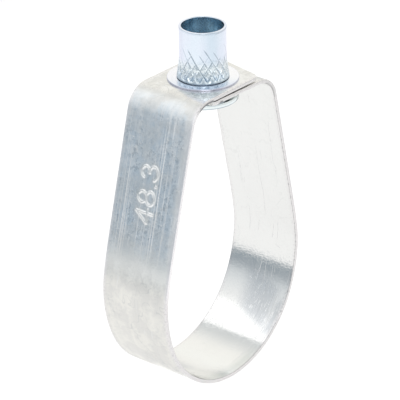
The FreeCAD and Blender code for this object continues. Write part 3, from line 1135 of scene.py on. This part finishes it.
def axisPlace(tree, upright):
    # place from the rod's axis, with the height squeezed by upright, so bands stand upright
    place = addNode(tree, "ShaderNodeTexCoord").outputs["Object"]
    return vectorCalc("MULTIPLY", vectorCalc("SUBTRACT", place, (rodX * mm, 0, 0)), (1, 1, upright))


def platedMarks(tree, finish):
    # patches round the axis: squeeze of the height, size, seed, where they start and are full, detail
    return {name: mottle(axisPlace(tree, upright), *values)
            for name, (upright, *values) in finish["mottles"].items()}


nutFinish = {
    "plate": (0.66, 0.775, 0.87), "pale": (0.80, 0.89, 0.97), "bore": (0.33, 0.46, 0.56),
    "boreSheen": (0.72, 0.90, 1.0),
    # colours laid over them, each with how strongly it covers
    "tint": (0.86, 0.84, 0.97, 0.35), "paintedRimShading": (0.86, 0.84, 0.97, 1.0), "crest": (0.90, 0.96, 0.98, 0.8),
    "knurlFoot": (0.66, 0.775, 0.87, 0.5), "recess": (0.38, 0.46, 0.53, 0.8),
    "flange": (0.86, 0.92, 0.93, 1.0), "flangeFootShade": (0.38, 0.46, 0.53, 0.85),
    "mottles": {
        "bands": (0.05, 4.2, 5.0, 0.36, 0.62, 0.0), "tint": (0.5, 5.0, 8.0, 0.45, 0.75, 1.0),
        "grain": (1.0, 0.5, 4.0, 0.3, 0.7, 4.0), "flecks": (0.7, 0.32, 14.0, 0.56, 0.62, 2.0),
    },
    "rimBlend": 0.35, "crestKnurl": (0.0, 0.4), "footKnurl": (0.55, 1.0), "fleckKnurl": (0.25, 0.7),
    "fleckShare": 0.9, "flangeEdge": 0.1, "flangeShade": (0.18, 0.4),
    "boreSide": (0.643, -0.766, 0.0), "boreLeftReflection": (-0.58, -0.70, 0.0, 0.85),
    "boreRightReflection": (0.52, 0.64, 0.0, 0.4), "boreBands": 0.12,
    "rough": 0.13, "roughGrain": 0.08, "roughKnurl": 0.18, "roughBore": 0.12, "bumpHeight": 0.006,
    "bumpStrength": 0.5,
}


def makeNutMaterial():
    material, tree, shader = newMaterial("bluePassivatedNut", metallic=1.0)
    finish = nutFinish
    recess, bore, knurl = (painted(tree, name) for name in ("recess", "bore", "knurl"))
    mark = platedMarks(tree, finish)
    # painted sheen: a pale lilac laid where the nut turns away from the view
    facing = addNode(tree, "ShaderNodeLayerWeight", {"Blend": finish["rimBlend"]}).outputs["Facing"]
    z = parts(addNode(tree, "ShaderNodeTexCoord").outputs["Object"])[2]
    shoulder = nutLow.z + nut["flangeThickness"] * mm
    # near its foot the knurl is crushed into short dark flecks
    flecks = times(mark["flecks"], spread(knurl, *finish["fleckKnurl"], 0.0, finish["fleckShare"]))
    layers = {
        "tint": mark["tint"], "paintedRimShading": facing, "crest": spread(knurl, *finish["crestKnurl"]),
        "knurlFoot": spread(knurl, *finish["footKnurl"]), "recess": larger(recess, flecks),
        # painted light: the flange below the shoulder is painted paler, and painted shade darkens a thin
        # ring at its foot
        "flange": fading(z, shoulder, shoulder + finish["flangeEdge"] * mm),
        "flangeFootShade": fading(z, *(nutLow.z + height * mm for height in finish["flangeShade"])),
    }
    colour = mixColour(mark["bands"], finish["pale"], finish["plate"])
    for name, share in layers.items():
        colour = lay(finish, name, colour, share)
    # painted reflection: the bore is painted paler on two sides of its wall and a little along the bands
    sideways = vectorCalc("DOT_PRODUCT", axisPlace(tree, 0.0), finish["boreSide"])
    sideways = calc("DIVIDE", sideways, nut["mouthRadius"] * mm)
    sheen = larger(spread(sideways, *finish["boreLeftReflection"]), spread(sideways, *finish["boreRightReflection"]),
                   times(mark["bands"], finish["boreBands"]))
    colour = mixColour(bore, colour, mixColour(sheen, finish["bore"], finish["boreSheen"]))
    feed(shader["Base Color"], colour)
    rough = summed((mark["grain"], finish["roughGrain"]), (knurl, finish["roughKnurl"]),
                   (bore, finish["roughBore"]))
    feed(shader["Roughness"], plus(rough, finish["rough"]))
    bumpInto(shader, times(mark["grain"], minus(1.0, bore)), finish["bumpHeight"], finish["bumpStrength"])
    return material


washerFinish = {
    "plate": (0.95, 0.95, 0.97), "violet": (0.90, 0.90, 0.96),
    "nutReflection": (0.74, 0.80, 0.91, 1.0), "paintedRimShading": (0.66, 0.68, 0.80, 1.0),
    "nutReflectionSide": (-0.77, -0.64, 0.0), "nutReflectionReach": (-0.1, 0.95), "rimWidth": (0.12, 0.03),
    "mottles": {"tint": (1.0, 6.0, 6.0, 0.35, 0.7), "grain": (1.0, 0.7, 12.0, 0.3, 0.7)},
    "rough": (0.16, 0.28), "bumpHeight": 0.008, "bumpStrength": 0.5,
}


def makeWasherMaterial():
    material, tree, shader = newMaterial("lilacPassivatedWasher", metallic=1.0)
    finish = washerFinish
    mark = platedMarks(tree, finish)
    reach = vectorCalc("LENGTH", axisPlace(tree, 0.0))
    colour = mixColour(mark["tint"], finish["plate"], finish["violet"])
    # painted reflection: the ring is painted bluer on its front side, where it would mirror the blue nut
    lean = vectorCalc("DOT_PRODUCT", axisPlace(tree, 0.0), finish["nutReflectionSide"])
    nutReflection = spread(lean, *(share * washerRadius * mm for share in finish["nutReflectionReach"]))
    colour = lay(finish, "nutReflection", colour, nutReflection)
    # painted shade: the ring's outer edge is darker
    paintedRimShading = spread(reach, *((washerRadius - width) * mm for width in finish["rimWidth"]))
    feed(shader["Base Color"], lay(finish, "paintedRimShading", colour, paintedRimShading))
    feed(shader["Roughness"], spread(mark["grain"], 0.0, 1.0, *finish["rough"], smooth=False))
    bumpInto(shader, mark["grain"], finish["bumpHeight"], finish["bumpStrength"])
    return material


# Studio

studio = {
    "floorRadius": 260.0, "floorThickness": 2.0, "floorColumns": 128, "floorGap": 1.25, "floorColour": 0.32,
    "floorGlow": 0.70, "floorGlowSeen": 0.8, "paintedLightUnderStrap": 1.3, "underX": (10.5, 14.0),
    "underY": (8.0, 10.0),
    "lampAim": (-0.55, -0.60, 0.58), "lampDistance": 1100.0, "lampSide": 420.0, "lampGlow": 1.6,
    "panelLeft": (-0.60, -0.44), "panelRight": (-0.05, -0.03), "panelFar": (0.57, 0.586),
    "panelNear": (-0.15, 0.0), "panelLow": (0.3, 0.4), "panelGlow": 1.45, "warmSide": (-0.05, 0.45),
    # the tent's colours from straight down, at 0, to straight up, at 1
    "coolTent": (
        (0.0, (0.92, 0.94, 0.95)), (0.42, (0.92, 0.94, 0.95)), (0.432, (0.33, 0.38, 0.42)),
        (0.505, (0.33, 0.38, 0.42)), (0.55, (0.42, 0.46, 0.50)), (0.60, (0.66, 0.70, 0.73)),
        (0.68, (0.80, 0.83, 0.85)), (0.80, (0.98, 0.99, 0.99)), (0.87, (0.92, 0.93, 0.93)),
        (0.92, (0.64, 0.67, 0.68)), (1.0, (0.85, 0.86, 0.86))),
    "warmTent": (
        (0.0, (0.60, 0.62, 0.63)), (0.505, (0.74, 0.75, 0.75)), (0.56, (0.86, 0.86, 0.84)),
        (0.62, (1.0, 0.99, 0.95)), (0.75, (1.05, 1.05, 1.01)), (0.88, (1.03, 1.02, 0.98)),
        (1.0, (0.85, 0.86, 0.86))),
}
white = (1, 1, 1)


def makeFloor():
    radius, bottom = studio["floorRadius"], -studio["floorThickness"]
    outline = [(0, 0), (radius, 0), (radius, bottom), (0, bottom)]
    floor = newPiece("floor", turnedMesh(outline, studio["floorColumns"]))
    floor.data.transform(Matrix.Translation((0, 0, strapLow.z - studio["floorGap"] * mm)))
    material, tree, shader = newMaterial("paleFloor", metallic=0.0)
    feed(shader["Base Color"], (studio["floorColour"],) * 3)
    feed(shader["Roughness"], 1.0)
    feed(shader["Specular IOR Level"], 0.0)
    feed(shader["Emission Color"], white)
    seen = addNode(tree, "ShaderNodeLightPath").outputs["Is Camera Ray"]
    # painted light: the floor glows brighter in a patch under the strap, where its shadow would fall
    x, y, z = parts(addNode(tree, "ShaderNodeTexCoord").outputs["Object"])
    under = times(*[fading(calc("ABSOLUTE", place), low * mm, high * mm)
                    for place, (low, high) in ((x, studio["underX"]), (y, studio["underY"]))])
    glow = mixNumber(under, studio["floorGlow"], studio["paintedLightUnderStrap"])
    feed(shader["Emission Strength"], mixNumber(seen, glow, studio["floorGlowSeen"]))
    floor.data.materials.append(material)


def makeLamp():
    data = bpy.data.lights.new("keyLamp", "AREA")
    data.shape = "SQUARE"
    data.size = studio["lampSide"] * mm
    data.energy = 4 * data.size ** 2 * studio["lampGlow"]
    light = newPiece("keyLamp", data)
    aim = Vector(studio["lampAim"]).normalized()
    light.location = aim * studio["lampDistance"] * mm
    light.rotation_euler = aim.to_track_quat("Z", "Y").to_euler()


def ramp(value, stops):
    node = addNode(value.id_data, "ShaderNodeValToRGB")
    elements = node.color_ramp.elements
    while len(elements) < len(stops):
        elements.new(0.5)
    for element, (place, colour) in zip(elements, stops):
        element.position = place
        element.color = (*colour, 1)
    feed(node.inputs[0], value)
    return node.outputs[0]


def makeWorld():
    # a light tent: grey at the horizon, pale above it, warmer on the right, with one bright panel
    world = bpy.data.worlds.new("studioTent")
    bpy.context.scene.world = world
    world.use_nodes = True
    tree = world.node_tree
    background = tree.nodes["Background"].inputs
    x, y, z = parts(addNode(tree, "ShaderNodeTexCoord").outputs["Generated"])
    rise = spread(z, -1.0, 1.0, smooth=False)
    light = mixColour(spread(x, *studio["warmSide"]), ramp(rise, studio["coolTent"]),
                      ramp(rise, studio["warmTent"]))
    panel = times(spread(x, *studio["panelLeft"]), fading(x, *studio["panelRight"]),
                  fading(y, *studio["panelFar"]), spread(y, *studio["panelNear"]),
                  spread(z, *studio["panelLow"]))
    light = mixColour(panel, light, (studio["panelGlow"],) * 3)
    seen = addNode(tree, "ShaderNodeLightPath").outputs["Is Camera Ray"]
    feed(background["Color"], mixColour(seen, light, white))
    feed(background["Strength"], 1.0)


def makeStudio():
    makeFloor()
    makeLamp()
    makeWorld()
    bpy.context.scene.view_settings.view_transform = "Standard"
    bpy.context.scene.view_settings.look = "None"
    print("studio: floor, lamp and light tent")


makeCamera()
makeStudio()
makeBentStrap(makeStrapMaterial())
turnedTree = makeTurnedTree()
makeKnurledNut(turnedTree, makeNutMaterial())
makeRetainingWasher(turnedTree, makeWasherMaterial())
